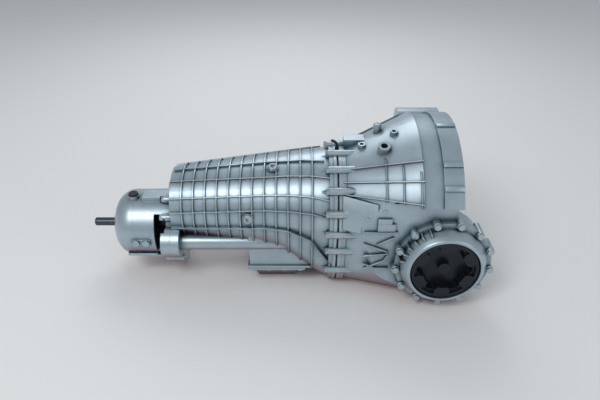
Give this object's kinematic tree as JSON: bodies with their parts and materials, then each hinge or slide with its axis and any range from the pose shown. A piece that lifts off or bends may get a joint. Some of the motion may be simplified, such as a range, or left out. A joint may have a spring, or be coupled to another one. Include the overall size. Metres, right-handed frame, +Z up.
{
  "type": "gearbox housing",
  "caption": "Ribbed cast gearbox housing for a longitudinal all-wheel drive: bell, tapering case, rear housing, round side cover, oil pan, with shafts and gears inside.",
  "frame": {"origin": "centre of the engine face of the bell, on the crank axis", "axes": "+X along the crank axis towards the engine, +Z up, -Y towards the side with the round differential cover"},
  "size_m": [0.9015, 0.428, 0.375],
  "materials": {
    "cast_aluminium": "rough die-cast, slightly blue-grey",
    "fastener_steel": "zinc-plated",
    "shaft_steel": "ground and oiled",
    "gear_steel": "hardened and ground",
    "dark_flange_steel": "phosphated forging",
    "black_plastic": "moulded, satin",
    "gasket": "moulded seal"
  },
  "bodies": {
    "housing": {"bell_housing": "cast_aluminium", "breather": "black_plastic", "case_bolts": "fastener_steel", "cover_bolts": "fastener_steel", "differential_cover": "cast_aluminium", "drain_plug": "fastener_steel", "engine_dowels": "fastener_steel", "input_front_bearing": "gear_steel", "input_rear_bearing": "gear_steel", "input_seal": "gasket", "intermediate_plate": "cast_aluminium", "left_axle_seal": "gasket", "left_carrier_bearing": "gear_steel", "main_case": "cast_aluminium", "oil_pan": "cast_aluminium", "oil_plugs": "fastener_steel", "output_front_bearing": "gear_steel", "output_rear_bearing": "gear_steel", "output_seal": "gasket", "output_tail_bearing": "gear_steel", "pan_bolts": "fastener_steel", "pan_gasket": "gasket", "pinion_bush": "gear_steel", "rear_cap": "black_plastic", "rear_housing": "cast_aluminium", "rear_housing_bolts": "fastener_steel", "right_axle_bearing": "gear_steel", "right_axle_seal": "gasket", "right_carrier_bearing": "gear_steel", "side_shaft_bushes": "gear_steel"},
    "input": {"input_shaft": "shaft_steel", "clutch_drum": "shaft_steel", "first_drive_gear": "gear_steel", "second_drive_gear": "gear_steel", "third_drive_gear": "gear_steel"},
    "output": {"output_shaft": "shaft_steel", "second_driven_gear": "gear_steel", "transfer_wheel": "gear_steel"},
    "first_idler": {"first_driven_gear": "gear_steel"},
    "third_idler": {"third_driven_gear": "gear_steel"},
    "side_shaft": {"side_shaft": "shaft_steel", "side_gear": "gear_steel", "bevel_pinion": "gear_steel"},
    "final_drive": {"crown_wheel": "gear_steel", "differential_carrier": "gear_steel"},
    "left_output": {"left_drive_flange": "dark_flange_steel"},
    "right_output": {"right_drive_flange": "shaft_steel"}
  },
  "joints": [
    {"name": "input_spin", "type": "hinge", "parent": "housing", "child": "input", "pos_m": [-0.3, 0, 0], "axis": [1, 0, 0], "continuous": true},
    {"name": "output_spin", "type": "hinge", "parent": "housing", "child": "output", "pos_m": [-0.5, 0, -0.06], "axis": [1, 0, 0], "continuous": true},
    {"name": "first_idler_spin", "type": "hinge", "parent": "housing", "child": "first_idler", "pos_m": [-0.333, 0, -0.06], "axis": [1, 0, 0], "continuous": true},
    {"name": "third_idler_spin", "type": "hinge", "parent": "housing", "child": "third_idler", "pos_m": [-0.468, 0, -0.06], "axis": [1, 0, 0], "continuous": true},
    {"name": "side_shaft_spin", "type": "hinge", "parent": "housing", "child": "side_shaft", "pos_m": [-0.3, -0.081, -0.06], "axis": [1, 0, 0], "continuous": true},
    {"name": "final_drive_spin", "type": "hinge", "parent": "housing", "child": "final_drive", "pos_m": [-0.02, -0.1, -0.06], "axis": [0, 1, 0], "continuous": true},
    {"name": "left_flange_spin", "type": "hinge", "parent": "housing", "child": "left_output", "pos_m": [-0.02, -0.17, -0.06], "axis": [0, 1, 0], "continuous": true},
    {"name": "right_flange_spin", "type": "hinge", "parent": "housing", "child": "right_output", "pos_m": [-0.02, 0.2, -0.06], "axis": [0, 1, 0], "continuous": true}
  ],
  "couplings": [
    {"joint": "output_spin", "follows": "input_spin", "ratio": -1},
    {"joint": "first_idler_spin", "follows": "input_spin", "ratio": -0.53846},
    {"joint": "third_idler_spin", "follows": "input_spin", "ratio": -1.3529},
    {"joint": "side_shaft_spin", "follows": "input_spin", "ratio": 2},
    {"joint": "final_drive_spin", "follows": "input_spin", "ratio": -0.75},
    {"joint": "left_flange_spin", "follows": "input_spin", "ratio": -0.75},
    {"joint": "right_flange_spin", "follows": "input_spin", "ratio": -0.75}
  ]
}
